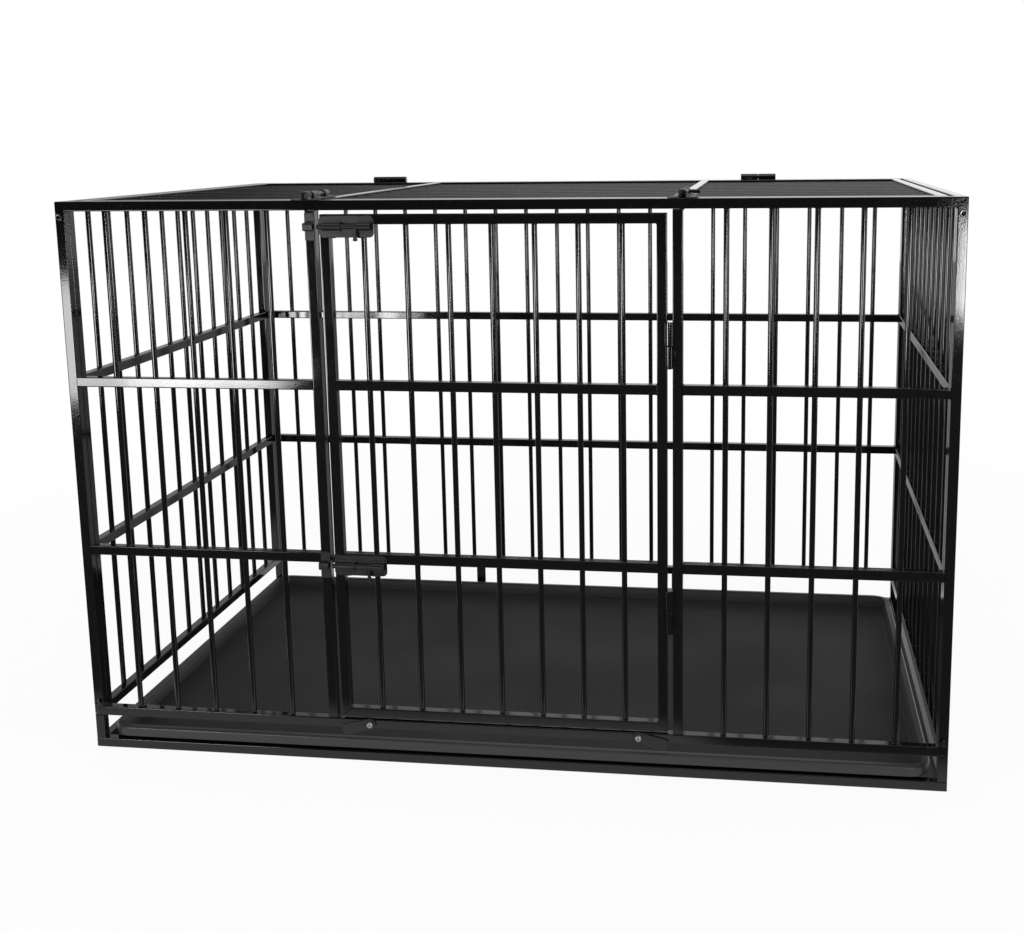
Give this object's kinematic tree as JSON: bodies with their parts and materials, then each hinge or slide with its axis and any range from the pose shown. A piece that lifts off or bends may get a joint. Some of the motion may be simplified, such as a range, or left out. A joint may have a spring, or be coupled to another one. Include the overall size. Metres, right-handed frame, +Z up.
{
  "type": "dog crate",
  "caption": "Bolted steel bar dog crate with a hinged front door, a hinged lid, slide bolts and a pull-out floor tray.",
  "frame": {"origin": "on the floor, under the middle of the crate's overall box", "axes": "+Z up, +X along the crate to the right of someone who faces the door, and the door at the -Y side"},
  "size_m": [1.15, 0.7081, 0.7633],
  "materials": {
    "black_steel": "gloss black powder coat",
    "bright_steel": "zinc-plated, semi-gloss",
    "tray_plastic": "satin black, faintly textured"
  },
  "bodies": {
    "crate": {"base_frame": "black_steel", "front_top_rail": "black_steel", "front_bottom_rail": "black_steel", "front_section_left": "black_steel", "front_section_right": "black_steel", "rear_panel": "black_steel", "left_panel": "black_steel", "right_panel": "black_steel", "door_bolt_upper_keeper": "black_steel", "door_bolt_lower_keeper": "black_steel", "lid_bolt_left_keeper": "black_steel", "lid_bolt_right_keeper": "black_steel", "door_hinge_upper_pin_barrel": "black_steel", "door_hinge_lower_pin_barrel": "black_steel", "lid_hinge_left_pin_barrel": "black_steel", "lid_hinge_right_pin_barrel": "black_steel", "tray_latch_front_left_screw": "bright_steel", "tray_latch_front_right_screw": "bright_steel", "tray_latch_rear_left_screw": "bright_steel", "tray_latch_rear_right_screw": "bright_steel", "corner_bolt_front_left_low": "bright_steel", "corner_bolt_front_left_high": "bright_steel", "corner_bolt_front_right_low": "bright_steel", "corner_bolt_front_right_high": "bright_steel", "corner_bolt_rear_left_low": "bright_steel", "corner_bolt_rear_left_high": "bright_steel", "corner_bolt_rear_right_low": "bright_steel", "corner_bolt_rear_right_high": "bright_steel"},
    "door": {"door": "black_steel", "door_hinge_upper_barrel": "black_steel", "door_hinge_lower_barrel": "black_steel", "door_bolt_upper_plate": "black_steel", "door_bolt_lower_plate": "black_steel"},
    "lid": {"lid": "black_steel", "lid_hinge_left_barrel": "black_steel", "lid_hinge_right_barrel": "black_steel", "lid_bolt_left_plate": "black_steel", "lid_bolt_right_plate": "black_steel"},
    "door_bolt_upper": {"door_bolt_upper_rod": "black_steel"},
    "door_bolt_lower": {"door_bolt_lower_rod": "black_steel"},
    "lid_bolt_left": {"lid_bolt_left_rod": "black_steel"},
    "lid_bolt_right": {"lid_bolt_right_rod": "black_steel"},
    "tray": {"tray": "tray_plastic"},
    "tray_latch_front_left": {"tray_latch_front_left": "black_steel"},
    "tray_latch_front_right": {"tray_latch_front_right": "black_steel"},
    "tray_latch_rear_left": {"tray_latch_rear_left": "black_steel"},
    "tray_latch_rear_right": {"tray_latch_rear_right": "black_steel"}
  },
  "joints": [
    {"name": "door_swing", "type": "hinge", "parent": "crate", "child": "door", "pos_m": [0.2221, -0.34836, 0.4], "axis": [0, 0, 1], "range_deg": [0, 180]},
    {"name": "lid_swing", "type": "hinge", "parent": "crate", "child": "lid", "pos_m": [0, 0.3319, 0.75713], "axis": [-1, 0, 0], "range_deg": [0, 200]},
    {"name": "door_bolt_upper_slide", "type": "slide", "parent": "door", "child": "door_bolt_upper", "axis": [-1, 0, 0], "range_m": [0, 0.0165]},
    {"name": "door_bolt_lower_slide", "type": "slide", "parent": "door", "child": "door_bolt_lower", "axis": [-1, 0, 0], "range_m": [0, 0.0165]},
    {"name": "lid_bolt_left_slide", "type": "slide", "parent": "lid", "child": "lid_bolt_left", "axis": [0, -1, 0], "range_m": [0, 0.0165]},
    {"name": "lid_bolt_right_slide", "type": "slide", "parent": "lid", "child": "lid_bolt_right", "axis": [0, -1, 0], "range_m": [0, 0.0165]},
    {"name": "tray_slide", "type": "slide", "parent": "crate", "child": "tray", "axis": [0, -1, 0], "range_m": [0, 0.6]},
    {"name": "tray_latch_front_left_turn", "type": "hinge", "parent": "crate", "child": "tray_latch_front_left", "pos_m": [-0.181, -0.3434, 0.05315], "axis": [0, 1, 0], "continuous": true},
    {"name": "tray_latch_front_right_turn", "type": "hinge", "parent": "crate", "child": "tray_latch_front_right", "pos_m": [0.181, -0.3434, 0.05315], "axis": [0, 1, 0], "continuous": true},
    {"name": "tray_latch_rear_left_turn", "type": "hinge", "parent": "crate", "child": "tray_latch_rear_left", "pos_m": [-0.181, 0.3481, 0.05315], "axis": [0, 1, 0], "continuous": true},
    {"name": "tray_latch_rear_right_turn", "type": "hinge", "parent": "crate", "child": "tray_latch_rear_right", "pos_m": [0.181, 0.3481, 0.05315], "axis": [0, 1, 0], "continuous": true}
  ]
}
